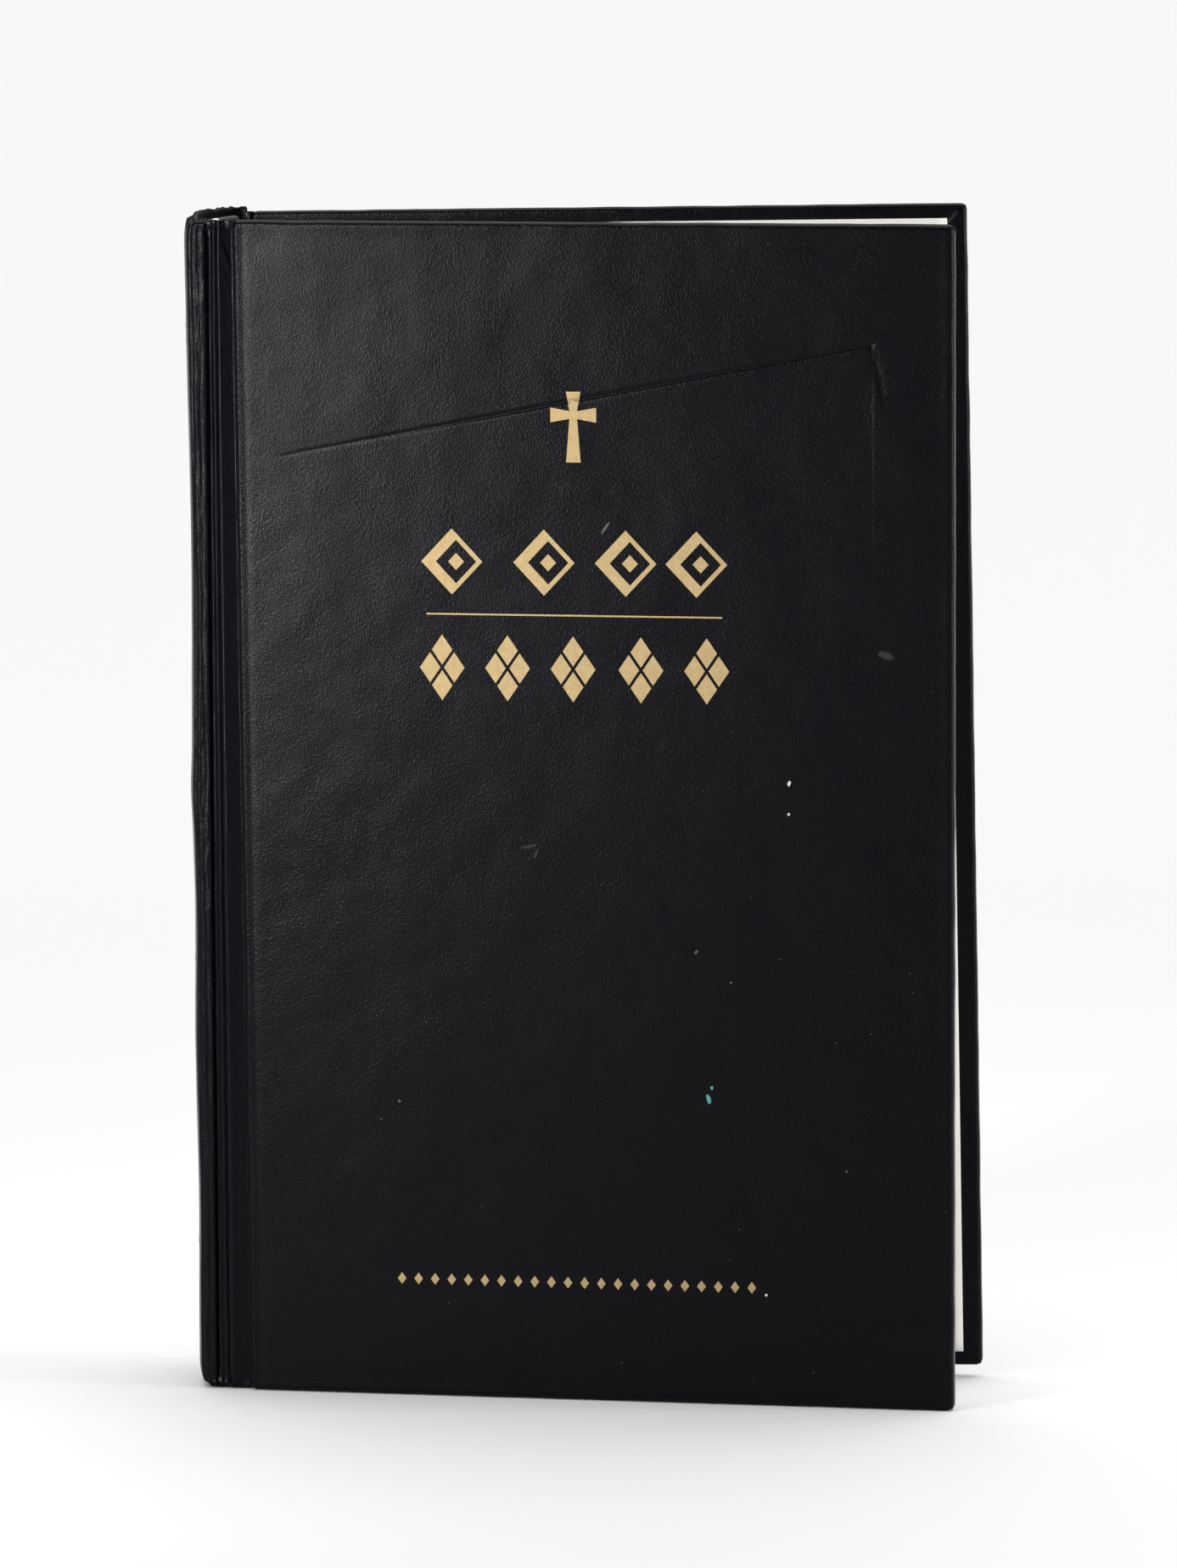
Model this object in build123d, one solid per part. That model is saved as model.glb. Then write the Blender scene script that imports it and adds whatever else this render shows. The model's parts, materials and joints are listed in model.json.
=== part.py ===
"""A hard-bound bible standing on its lower edge, made piece by piece as a bookbinder makes it.

Frame: +Z is up, the spine faces -X, the front cover faces -Y, the floor is z = 0.
Book places are first written from the plane of the page folds (x = 0) and the middle of the
thickness (y = 0), then moved along X so that the whole book is centred on the origin.
"""
from build123d import *
import os
from math import cos, radians, sin, tan

# ---- leaves, millimetres
LEAF_WIDTH = 136.5
LEAF_HEIGHT = 212.6
SECTION_COUNT = 16
SECTION_THICKNESS = 1.75
PAPER = 0.15

# ---- case
CASE_HEIGHT = 218.0
LEATHER = 0.35
BOARD = 2.3
BOARD_START = 5.5
FORE_EDGE = 140.0
TURN_IN = 15.0
REST_OPENING = 1.4

# ---- layers outwards from the middle of the book, on each side
BLOCK_HALF = SECTION_COUNT * SECTION_THICKNESS / 2
FLYLEAF_GAP = 0.02
FLYLEAF_IN = BLOCK_HALF + FLYLEAF_GAP
FLYLEAF_OUT = FLYLEAF_IN + PAPER
PASTEDOWN_IN = FLYLEAF_OUT + 0.10
PASTEDOWN_OUT = PASTEDOWN_IN + PAPER
BOARD_IN = PASTEDOWN_OUT + LEATHER
BOARD_OUT = BOARD_IN + BOARD
COVER_OUT = BOARD_OUT + LEATHER

# ---- spine, outwards from the folds
TAPE = 0.4
THREAD = 0.3
MULL = 0.25
SPINE_PAPER = 0.4
SPINE_GAP = 0.05
TAPE_OUT = -SPINE_GAP - TAPE
THREAD_OUT = TAPE_OUT - THREAD
MULL_OUT = THREAD_OUT - MULL
LINING_OUT = MULL_OUT - SPINE_PAPER
SPINE_CARD = 0.8
SPINE_EDGE_X = -3.8
SPINE_EDGE_Y = 15.6
SPINE_BULGE = 2.7
SHOULDER_X = -2.6
SHOULDER_Y = 16.3
SHOULDER_END_X = -1.2
SHOULDER_SLOPE = 0.2
GROOVE_START_X = 0.8
GROOVE_Y = 14.95
JOINT_GAP = 0.1
JOINT_INSET = 0.3
JOINT_TUCK = 0.25
MULL_JOINT_IN = 14.38
MULL_JOINT_OUT = 14.54
PAPER_JOINT_IN = 14.20
PAPER_JOINT_OUT = 14.35

# ---- sewing and bands
TAPE_WIDTH = 14.0
TAPE_HEIGHTS = (35.0, 84.0, 134.0, 183.0)
THREAD_WIDTH = 0.5
THREAD_OVERHANG = 1.0
MULL_MARGIN = 12.0
MULL_FLAP = 25.0
BAND_RADIUS = 0.9
BAND_SKIRT = 0.3
BAND_DEPTH = 11.0

# ---- motion, degrees
COVER_HINGE = (-0.5, 15.0)
OUTER_FAN = 75.0
FAN_STEP = 10.0
FAN_CLEARANCE = 0.03
TIP_WIDTH = 3.5

# ---- gold foil on the front cover
FOIL = 0.05
FOIL_CENTRE = 69.4
EMBLEM_HEIGHT = 180.5
EMBLEM_TALL = 13.0
UPPER_ROW = 155.5
LOWER_ROW = 135.9
ROW_TALL = 12.2
UPPER_PLACES = (46.5, 63.8, 79.1, 92.3)
UPPER_WIDTH = 11.5
LOWER_PLACES = (44.6, 56.9, 69.2, 81.9, 94.2)
LOWER_WIDTH = 8.4
RULE_HEIGHT = 145.8
RULE_LENGTH = 55.4
RULE_THICK = 0.30
FOOTER_HEIGHT = 21.9
FOOTER_LENGTH = 66.0
FOOTER_COUNT = 22
FOOTER_TALL = 2.2
FOOTER_WIDTH = 1.65
SPINE_RULES = (27.0, 80.0, 195.0, 198.0)
SPINE_RULE_TALL = 0.8
SPINE_MARKS = (98.0, 117.0, 136.0, 155.0, 174.0)
SPINE_MARK = 9.0
SPINE_CROSS = 208.0
SPINE_FOIL_MARGIN = 2.0

# ---- shares of an ornament's size
OPENING_SIZE = 0.66
OPENING_SHIFT = 0.07
CENTRE_SIZE = 0.26
PETAL_SIZE = 0.46
PETAL_REACH = 0.27
CROSS_STROKE = 0.13
CROSS_WIDTH = 0.66
CROSS_ARM = 0.17
CROSS_POINT = 0.26

# ---- the whole book is centred in X
SPINE_BACK = SPINE_EDGE_X - SPINE_BULGE
OPEN = radians(REST_OPENING)
FORE_TIP = (
    COVER_HINGE[0]
    + (FORE_EDGE - COVER_HINGE[0]) * cos(OPEN)
    - (PASTEDOWN_OUT - COVER_HINGE[1]) * sin(OPEN)
)
SHIFT_X = -(SPINE_BACK + FORE_TIP) / 2

FRONT, BACK = -1, 1
SIDE_NAME = {FRONT: "front", BACK: "back"}


def block(x_low, x_high, y_low, y_high, z_low, z_high):
    """A plain box between two corners."""
    size = (x_high - x_low, y_high - y_low, z_high - z_low)
    middle = ((x_low + x_high) / 2, (y_low + y_high) / 2, (z_low + z_high) / 2)
    return Pos(*middle) * Box(*size)


def layer(side, x_low, x_high, inner, outer, z_low, z_high):
    """A box on one side of the book, between two distances from its middle."""
    y_low, y_high = sorted((side * inner, side * outer))
    return block(x_low, x_high, y_low, y_high, z_low, z_high)


def prism(points, z_low, z_high):
    """A closed outline in XY, raised from one height to another."""
    outline = Polygon(*points, align=None)
    return Pos(0, 0, z_low) * extrude(outline, z_high - z_low, dir=(0, 0, 1))


def opened(side, shape):
    """Turn a piece of a cover from tight shut to how the book rests."""
    axis = Axis((COVER_HINGE[0], side * COVER_HINGE[1], 0), (0, 0, 1))
    return shape.rotate(axis, side * REST_OPENING)


def save(name, shape):
    """Write one piece, moved so that the book is centred in X."""
    export_step(Pos(SHIFT_X, 0, 0) * shape, f"parts/{name}.step")


# ---- text block


def section_outline(index):
    """A folded section seen from above, thinned at its fold so that it can fan open.

    Sections turn about the corner of their fold that is furthest from the middle. The inner face
    is cut back where the next section would stand against it when the book is wide open.
    """
    half = SECTION_COUNT // 2
    side = FRONT if index < half else BACK
    place = index if side == FRONT else SECTION_COUNT - 1 - index
    fan = radians(OUTER_FAN - FAN_STEP * place)
    outer = BLOCK_HALF - SECTION_THICKNESS * place
    inner = outer - SECTION_THICKNESS
    step = radians(FAN_STEP)
    fold = SECTION_THICKNESS * cos(fan - step) / cos(step) - FAN_CLEARANCE
    taper = SECTION_THICKNESS * ((1 - cos(fan)) / tan(step) - sin(fan)) + FAN_CLEARANCE / tan(step)
    points = [(0, outer), (LEAF_WIDTH, outer), (LEAF_WIDTH, inner)]
    if taper > 0:
        points += [(taper, inner), (0, outer - fold)]
    else:
        points += [(0, inner)]
    return [(x, side * y) for x, y in points]


def make_sections():
    low = (CASE_HEIGHT - LEAF_HEIGHT) / 2
    for index in range(SECTION_COUNT):
        save(f"section_{index + 1:02d}", prism(section_outline(index), low, low + LEAF_HEIGHT))


def make_flyleaf(side):
    low = (CASE_HEIGHT - LEAF_HEIGHT) / 2
    leaf = layer(side, TIP_WIDTH, LEAF_WIDTH, FLYLEAF_IN, FLYLEAF_OUT, low, low + LEAF_HEIGHT)
    save(f"{SIDE_NAME[side]}_flyleaf", leaf)


def make_sewing():
    """Linen tapes across the folds, and a thread over each tape at each section."""
    tapes = []
    threads = []
    for height in TAPE_HEIGHTS:
        low = height - TAPE_WIDTH / 2
        high = height + TAPE_WIDTH / 2
        low_end = low - THREAD_OVERHANG
        high_end = high + THREAD_OVERHANG
        tapes.append(block(TAPE_OUT, -SPINE_GAP, -BLOCK_HALF, BLOCK_HALF, low, high))
        for index in range(SECTION_COUNT):
            middle = -BLOCK_HALF + SECTION_THICKNESS * (index + 0.5)
            y_low = middle - THREAD_WIDTH / 2
            y_high = middle + THREAD_WIDTH / 2
            threads.append(block(THREAD_OUT, TAPE_OUT, y_low, y_high, low_end, high_end))
    save("sewing_tapes", Compound(children=tapes))
    save("sewing_threads", Compound(children=threads))


def make_spine_linings():
    low = MULL_MARGIN
    high = CASE_HEIGHT - MULL_MARGIN
    save("spine_mull", block(MULL_OUT, THREAD_OUT, -BLOCK_HALF, BLOCK_HALF, low, high))
    save("spine_lining", block(LINING_OUT, MULL_OUT, -BLOCK_HALF, BLOCK_HALF, low, high))


def make_band(name, up):
    """A rolled silk band at one end of the spine, with its skirt glued down the folds."""
    block_end = (CASE_HEIGHT + up * LEAF_HEIGHT) / 2
    roll_height = block_end + up * (BAND_RADIUS + SPINE_GAP)
    roll_x = LINING_OUT - BAND_SKIRT + BAND_RADIUS
    roll = Pos(roll_x, 0, roll_height) * Rot(90, 0, 0) * Cylinder(BAND_RADIUS, 2 * BLOCK_HALF)
    z_low, z_high = sorted((roll_height, block_end - up * BAND_DEPTH))
    skirt_out = LINING_OUT - BAND_SKIRT
    skirt = block(skirt_out, LINING_OUT, -BLOCK_HALF, BLOCK_HALF, z_low, z_high)
    save(name, roll + skirt)


# ---- case


def make_board(side):
    board = layer(
        side, BOARD_START, FORE_EDGE - LEATHER, BOARD_IN, BOARD_OUT, LEATHER, CASE_HEIGHT - LEATHER
    )
    save(f"{SIDE_NAME[side]}_board", opened(side, board))


def make_cover_leather(side):
    """The skin of one board: its outside, its three turned edges and the turn-ins inside."""
    skin_start = BOARD_START - LEATHER
    skin = layer(side, skin_start, FORE_EDGE, PASTEDOWN_OUT, COVER_OUT, 0, CASE_HEIGHT)
    skin -= layer(
        side, BOARD_START, FORE_EDGE - LEATHER, BOARD_IN, BOARD_OUT, LEATHER, CASE_HEIGHT - LEATHER
    )
    skin -= layer(
        side, 0, FORE_EDGE - TURN_IN, PASTEDOWN_IN, BOARD_IN, TURN_IN, CASE_HEIGHT - TURN_IN
    )
    save(f"{SIDE_NAME[side]}_cover_leather", opened(side, skin))


def make_cover_inside(side):
    """The mull flap and infill card between the turn-ins, and the pastedown over them."""
    name = SIDE_NAME[side]
    flap_end = BOARD_START + MULL_FLAP
    low = TURN_IN
    high = CASE_HEIGHT - TURN_IN
    flap = layer(side, BOARD_START, flap_end, PASTEDOWN_OUT, BOARD_IN, low, high)
    infill = layer(side, flap_end, FORE_EDGE - TURN_IN, PASTEDOWN_OUT, BOARD_IN, low, high)
    leaf_low = (CASE_HEIGHT - LEAF_HEIGHT) / 2
    pastedown = layer(
        side,
        BOARD_START,
        LEAF_WIDTH,
        PASTEDOWN_IN,
        PASTEDOWN_OUT,
        leaf_low,
        leaf_low + LEAF_HEIGHT,
    )
    save(f"{name}_mull_flap", opened(side, flap))
    save(f"{name}_infill_card", opened(side, infill))
    save(f"{name}_pastedown", opened(side, pastedown))


def spine_arc_radius():
    return (SPINE_EDGE_Y**2 + SPINE_BULGE**2) / (2 * SPINE_BULGE)


def spine_sheet(outer_gap, thickness, half_width):
    """A bowed strip of the given thickness, the given gap inside the spine's outer face."""
    radius = spine_arc_radius() - outer_gap
    centre_x = SPINE_BACK + spine_arc_radius()
    ring = Circle(radius) - Circle(radius - thickness)
    window = Pos(SPINE_BACK - centre_x, 0) * Rectangle(4 * SPINE_BULGE, 2 * half_width)
    return Pos(centre_x, 0) * (ring & window)


def make_spine():
    """The skin of the spine, the card strip that stiffens it, and the gold lines across it."""
    skin = spine_sheet(0, LEATHER, SPINE_EDGE_Y)
    save("spine_leather", extrude(skin, CASE_HEIGHT))
    card = spine_sheet(LEATHER, SPINE_CARD, SPINE_EDGE_Y - LEATHER)
    tall = CASE_HEIGHT - 2 * LEATHER
    save("spine_inlay", Pos(0, 0, LEATHER) * extrude(card, tall))
    film = extrude(spine_sheet(-FOIL, FOIL, SPINE_EDGE_Y - SPINE_FOIL_MARGIN), CASE_HEIGHT)
    design = Pos(0, SPINE_CROSS) * cross_mark(SPINE_MARK)
    for height in SPINE_RULES:
        design += Pos(0, height) * Rectangle(2 * SPINE_EDGE_Y, SPINE_RULE_TALL)
    for height in SPINE_MARKS:
        design += Pos(0, height) * lozenge_mark(SPINE_MARK, SPINE_MARK)
    stamp = extrude(Plane.YZ * design, 2 * SPINE_BACK)
    save("foil_spine", film & stamp)


def make_joint_leather(side):
    """The flexible skin from the spine's shoulder, down the groove, to the board's edge."""
    end_x = BOARD_START - LEATHER - JOINT_GAP
    start_y = SPINE_EDGE_Y + SPINE_GAP
    slope_y = SHOULDER_Y - SHOULDER_SLOPE
    outer = [
        (SPINE_EDGE_X, start_y),
        (SHOULDER_X, SHOULDER_Y),
        (SHOULDER_END_X, slope_y),
        (GROOVE_START_X, GROOVE_Y),
        (end_x, GROOVE_Y),
    ]
    inner = [
        (end_x, GROOVE_Y - LEATHER),
        (GROOVE_START_X - LEATHER / 2, GROOVE_Y - LEATHER),
        (SHOULDER_END_X - LEATHER / 2, slope_y - LEATHER),
        (SHOULDER_X, SHOULDER_Y - LEATHER),
        (SPINE_EDGE_X + JOINT_TUCK, start_y),
    ]
    points = [(x, side * y) for x, y in outer + inner]
    strip = prism(points, JOINT_INSET, CASE_HEIGHT - JOINT_INSET)
    save(f"{SIDE_NAME[side]}_joint_leather", strip)


def make_joint_linings(side):
    """The cloth and the endpaper that cross the groove inside, from the block to the board."""
    name = SIDE_NAME[side]
    end_x = BOARD_START - JOINT_GAP
    leaf_low = (CASE_HEIGHT - LEAF_HEIGHT) / 2
    cloth = layer(
        side, 0, end_x, MULL_JOINT_IN, MULL_JOINT_OUT, MULL_MARGIN, CASE_HEIGHT - MULL_MARGIN
    )
    paper = layer(
        side, 0, end_x, PAPER_JOINT_IN, PAPER_JOINT_OUT, leaf_low, leaf_low + LEAF_HEIGHT
    )
    save(f"{name}_mull_joint", cloth)
    save(f"{name}_endpaper_joint", paper)


# ---- gold foil


def on_front(sketch):
    """Lay a flat design, drawn as (along the cover, up the cover), on the front cover."""
    raised = Plane.XZ.offset(COVER_OUT) * extrude(sketch, FOIL)
    return opened(FRONT, raised)


def lozenge(width, tall):
    return Polygon((-width / 2, 0), (0, -tall / 2), (width / 2, 0), (0, tall / 2), align=None)


def lozenge_mark(width, tall):
    """An open lozenge, thick on one side and thin on the other, around a small solid one."""
    middle = Pos(OPENING_SHIFT * width, 0)
    opening = middle * lozenge(OPENING_SIZE * width, OPENING_SIZE * tall)
    centre = middle * lozenge(CENTRE_SIZE * width, CENTRE_SIZE * tall)
    return lozenge(width, tall) - opening + centre


def cross_mark(tall):
    """A plain cross with a small lozenge at each end of its arms."""
    stroke = CROSS_STROKE * tall
    width = CROSS_WIDTH * tall
    arm_height = CROSS_ARM * tall
    point = CROSS_POINT * tall
    mark = Rectangle(stroke, tall - stroke) + Pos(0, arm_height) * Rectangle(width, stroke)
    for end in (-1, 1):
        mark += Pos(0, end * (tall - stroke) / 2) * lozenge(point, stroke)
        mark += Pos(end * width / 2, arm_height) * lozenge(stroke, point)
    return mark


def cluster_mark(width, tall):
    """Four solid lozenges set as the points of a larger one."""
    petal = lozenge(PETAL_SIZE * width, PETAL_SIZE * tall)
    reach_x = PETAL_REACH * width
    reach_z = PETAL_REACH * tall
    mark = Pos(0, reach_z) * petal + Pos(0, -reach_z) * petal
    return mark + Pos(reach_x, 0) * petal + Pos(-reach_x, 0) * petal


def make_front_foil():
    emblem = Pos(FOIL_CENTRE, EMBLEM_HEIGHT) * cross_mark(EMBLEM_TALL)
    save("foil_emblem", on_front(emblem))
    upper = [Pos(x, UPPER_ROW) * lozenge_mark(UPPER_WIDTH, ROW_TALL) for x in UPPER_PLACES]
    save("foil_upper_row", Compound(children=[on_front(mark) for mark in upper]))
    lower = [Pos(x, LOWER_ROW) * cluster_mark(LOWER_WIDTH, ROW_TALL) for x in LOWER_PLACES]
    save("foil_lower_row", Compound(children=[on_front(mark) for mark in lower]))
    rule = Pos(FOIL_CENTRE, RULE_HEIGHT) * Rectangle(RULE_LENGTH, RULE_THICK)
    save("foil_rule", on_front(rule))
    spacing = FOOTER_LENGTH / (FOOTER_COUNT - 1)
    start = FOIL_CENTRE - FOOTER_LENGTH / 2
    footer = []
    for index in range(FOOTER_COUNT):
        mark = lozenge(FOOTER_WIDTH, FOOTER_TALL)
        footer.append(on_front(Pos(start + index * spacing, FOOTER_HEIGHT) * mark))
    save("foil_footer", Compound(children=footer))


def main():
    os.makedirs("parts", exist_ok=True)
    make_sections()
    make_sewing()
    make_spine_linings()
    make_band("headband", 1)
    make_band("tailband", -1)
    for side in (FRONT, BACK):
        make_flyleaf(side)
        make_board(side)
        make_cover_leather(side)
        make_cover_inside(side)
        make_joint_leather(side)
        make_joint_linings(side)
    make_spine()
    make_front_foil()


main()
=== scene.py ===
"""Looks of a hard-bound bible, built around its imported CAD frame.

Book places are in millimetres: x from the plane of the page folds towards the fore-edge, depth from
the middle of the thickness outwards on either side, z up from the floor.
"""
import math
import random

import bmesh
import bpy
from mathutils import Matrix, Vector, noise
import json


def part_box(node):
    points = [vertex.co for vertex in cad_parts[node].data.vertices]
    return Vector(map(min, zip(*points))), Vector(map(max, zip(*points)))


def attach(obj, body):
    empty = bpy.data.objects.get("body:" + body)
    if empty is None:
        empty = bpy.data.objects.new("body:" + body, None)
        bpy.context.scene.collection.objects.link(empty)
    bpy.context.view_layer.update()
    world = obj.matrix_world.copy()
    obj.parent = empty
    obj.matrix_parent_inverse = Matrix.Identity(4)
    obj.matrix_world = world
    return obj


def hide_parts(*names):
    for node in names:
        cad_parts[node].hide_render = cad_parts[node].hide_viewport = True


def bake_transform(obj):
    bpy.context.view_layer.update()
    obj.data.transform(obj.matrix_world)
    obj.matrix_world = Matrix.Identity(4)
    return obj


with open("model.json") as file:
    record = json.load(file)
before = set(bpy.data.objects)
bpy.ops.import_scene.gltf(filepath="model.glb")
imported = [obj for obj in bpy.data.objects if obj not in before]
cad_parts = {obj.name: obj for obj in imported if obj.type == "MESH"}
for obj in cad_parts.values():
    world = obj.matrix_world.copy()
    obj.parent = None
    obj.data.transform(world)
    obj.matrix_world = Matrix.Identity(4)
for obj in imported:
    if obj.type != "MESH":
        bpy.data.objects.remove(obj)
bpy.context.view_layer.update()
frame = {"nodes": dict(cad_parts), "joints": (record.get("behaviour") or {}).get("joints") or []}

# ---- the book's dimensions, millimetres
MM = 0.001
SAME_PLACE = 0.001
LEAF_WIDTH = 136.5
LEAF_HEIGHT = 212.6
SECTION_COUNT = 16
SECTION_THICKNESS = 1.75
CASE_HEIGHT = 218.0
LEATHER = 0.35
PAPER = 0.12
STRIP = 0.1
BOARD_START = 5.5
FORE_EDGE = 140.0
TURN_IN = 15.0
REST_OPENING = 1.4
BLOCK_HALF = 14.0
FLYLEAF_IN = 14.02
PASTEDOWN_IN = 14.27
PASTEDOWN_OUT = 14.42
MULL_DEPTH = 14.46
MULL_END = 12.0
BOARD_IN = 14.77
BOARD_OUT = 17.07
COVER_OUT = 17.42
LEAF_LOW = (CASE_HEIGHT - LEAF_HEIGHT) / 2
LEAF_HIGH = LEAF_LOW + LEAF_HEIGHT
SKIN_START = BOARD_START - LEATHER

# ---- spine, millimetres
SPINE_BACK = -6.5
SPINE_EDGE_Y = 15.6
SPINE_BULGE = 2.7
SPINE_RADIUS = (SPINE_EDGE_Y**2 + SPINE_BULGE**2) / (2 * SPINE_BULGE)
SPINE_CARD = 0.64
CARD_GAP = 0.08
LINING_OUT = -1.4

# ---- a used book stands a little out of square
FRONT_LEAN = 2.2
SPINE_LEAN = 1.4
BACK_SETTLE = {"turn": 0.85, "shift": -1.55, "lift": 0.1}
PAGE_SLANT = {"foot": 1.85, "head": 6.5, "lift": 1.0}

FRONT, BACK = -1, 1
SIDE_NAME = {FRONT: "front", BACK: "back"}
FOLD_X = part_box("section_01")[0].x
HINGES = {joint["name"]: Vector(joint["pos_m"]) for joint in frame["joints"]}


# ---- places


def spot(x, y, z):
    """A point of the book, in metres in the frame."""
    return Vector((FOLD_X + x * MM, y * MM, z * MM))


def swing(side):
    """The turn that takes a cover from tight shut to how it rests."""
    hinge = HINGES[f"{SIDE_NAME[side]}_cover_hinge"]
    turn = Matrix.Rotation(math.radians(side * REST_OPENING), 4, "Z")
    return Matrix.Translation(hinge) @ turn @ Matrix.Translation(-hinge)


def settle(side):
    """The turn in its own plane that the back cover has taken against the front one."""
    if side == FRONT:
        return Matrix.Identity(4)
    pivot = spot(SKIN_START, 0, CASE_HEIGHT / 2)
    turn = Matrix.Rotation(math.radians(-BACK_SETTLE["turn"]), 4, "Y")
    move = Matrix.Translation(Vector((BACK_SETTLE["shift"], 0, BACK_SETTLE["lift"])) * MM)
    return move @ Matrix.Translation(pivot) @ turn @ Matrix.Translation(-pivot)


def at_rest(side):
    """Where a cover's pieces stand: settled, and a little open."""
    return swing(side) @ settle(side)


def lean(height, amount):
    """A shift that grows from nothing at the head to its full amount at the foot."""
    return amount * (1 - height / CASE_HEIGHT)


def smooth_step(value):
    t = min(1.0, max(0.0, value))
    return t * t * (3 - 2 * t)


def ramp(value, low, high):
    return min(1.0, max(0.0, (value - low) / (high - low)))


def wobble(a, b, c=0.0):
    """Smooth noise from -1 to 1."""
    return noise.noise(Vector((a, b, c)))


# ---- meshes


def link(name, data):
    """A new object of the scene."""
    thing = bpy.data.objects.new(name, data)
    bpy.context.scene.collection.objects.link(thing)
    return thing


def new_object(name, vertices, faces, side, smooth=True):
    """An object from book places (x, depth, z), mirrored to the front where side says so."""
    mesh = bpy.data.meshes.new(name)
    points = [spot(x, side * depth, z) for x, depth, z in vertices]
    if side == FRONT:
        faces = flipped(faces)
    mesh.from_pydata(points, [], faces)
    mesh.validate()
    if smooth:
        mesh.shade_smooth()
    return link(name, mesh)


def grid_faces(rows, columns, first=0):
    """Quads between rows of points that start at the point numbered first."""
    faces = []
    for r in range(rows - 1):
        for c in range(columns - 1):
            a = first + r * columns + c
            faces.append((a, a + 1, a + 1 + columns, a + columns))
    return faces


def flipped(faces):
    """The same faces seen from their other side."""
    return [tuple(reversed(face)) for face in faces]


def merge_points(thing):
    """Join points that share a place and drop what collapses."""
    work = bmesh.new()
    work.from_mesh(thing.data)
    bmesh.ops.remove_doubles(work, verts=work.verts, dist=SAME_PLACE * MM)
    bmesh.ops.dissolve_degenerate(work, edges=work.edges, dist=SAME_PLACE * MM * 0.1)
    work.to_mesh(thing.data)
    work.free()


def thicken(thing, thickness, offset=-1.0):
    """Give a sheet its thickness; offset -1 keeps the given face as the outside."""
    solid = thing.modifiers.new("thickness", "SOLIDIFY")
    solid.thickness = thickness * MM
    solid.offset = offset


def sheet(name, points, columns, side, thickness, turned=False, offset=-1.0):
    """A sheet of the given thickness through rows of points; turned swaps its two sides."""
    faces = grid_faces(len(points) // columns, columns)
    thing = new_object(name, points, flipped(faces) if turned else faces, side)
    thicken(thing, thickness, offset)
    return thing


def spread(low, high, count):
    """Evenly spaced numbers, both ends included."""
    return [low + (high - low) * i / (count - 1) for i in range(count)]


# ---- materials


class Nodes:
    """A short way to write a node tree."""

    def __init__(self, name):
        self.material = bpy.data.materials.new(name)
        self.material.use_nodes = True
        self.tree = self.material.node_tree
        self.shader = self.tree.nodes["Principled BSDF"]

    def add(self, kind, values=(), **settings):
        """A node with settings by name and (input, value or socket) pairs."""
        node = self.tree.nodes.new(kind)
        for key, value in settings.items():
            setattr(node, key, value)
        for key, value in values:
            self.put(node, key, value)
        return node

    def put(self, node, key, value):
        if isinstance(value, bpy.types.NodeSocket):
            self.tree.links.new(value, node.inputs[key])
        else:
            node.inputs[key].default_value = value

    def math(self, operation, a, b=0.0):
        return self.add("ShaderNodeMath", [(0, a), (1, b)], operation=operation).outputs[0]

    def place(self, scale=(1, 1, 1), turn=(0, 0, 0)):
        """The piece's own coordinates in millimetres, turned by degrees and then scaled."""
        source = self.add("ShaderNodeTexCoord").outputs["Object"]
        angles = [math.radians(t) for t in turn]
        turned = self.add("ShaderNodeMapping", [("Vector", source), ("Rotation", angles)])
        size = [1000 * s for s in scale]
        sized = self.add("ShaderNodeMapping", [("Vector", turned.outputs[0]), ("Scale", size)])
        return sized.outputs[0]

    def noise(self, where, scale, detail=3.0, roughness=0.5, distortion=0.0):
        names = ("Vector", "Scale", "Detail", "Roughness", "Distortion")
        values = zip(names, (where, scale, detail, roughness, distortion))
        return self.add("ShaderNodeTexNoise", values).outputs["Fac"]

    def cells(self, where, scale):
        values = [("Vector", where), ("Scale", scale)]
        return self.add("ShaderNodeTexVoronoi", values).outputs["Distance"]

    def ramp(self, value, stops, interpolation="LINEAR"):
        """A colour ramp from (position, grey or colour) stops."""
        node = self.add("ShaderNodeValToRGB", [(0, value)])
        node.color_ramp.interpolation = interpolation
        while len(node.color_ramp.elements) < len(stops):
            node.color_ramp.elements.new(0.5)
        for element, (position, colour) in zip(node.color_ramp.elements, stops):
            element.position = position
            rgb = (colour,) * 3 if isinstance(colour, (int, float)) else colour
            element.color = (*rgb, 1)
        return node.outputs[0]

    def mix(self, factor, a, b):
        node = self.add("ShaderNodeMix", data_type="RGBA")
        for index, value in ((0, factor), (6, a), (7, b)):
            if isinstance(value, tuple):
                value = (*value, 1)
            self.put(node, index, value)
        return node.outputs[2]

    def bump(self, height, strength, distance, under=None):
        """Bump of the given depth in millimetres, on top of another bump."""
        values = [("Height", height), ("Strength", strength), ("Distance", distance * MM)]
        if under is not None:
            values.append(("Normal", under))
        return self.add("ShaderNodeBump", values).outputs[0]

    def finish(self, colour, roughness, normal=None, **numbers):
        self.put(self.shader, "Base Color", (*colour, 1) if isinstance(colour, tuple) else colour)
        self.put(self.shader, "Roughness", roughness)
        if normal is not None:
            self.put(self.shader, "Normal", normal)
        for key, value in numbers.items():
            self.put(self.shader, key.replace("_", " ").title().replace("Ior", "IOR"), value)
        return self.material


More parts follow.
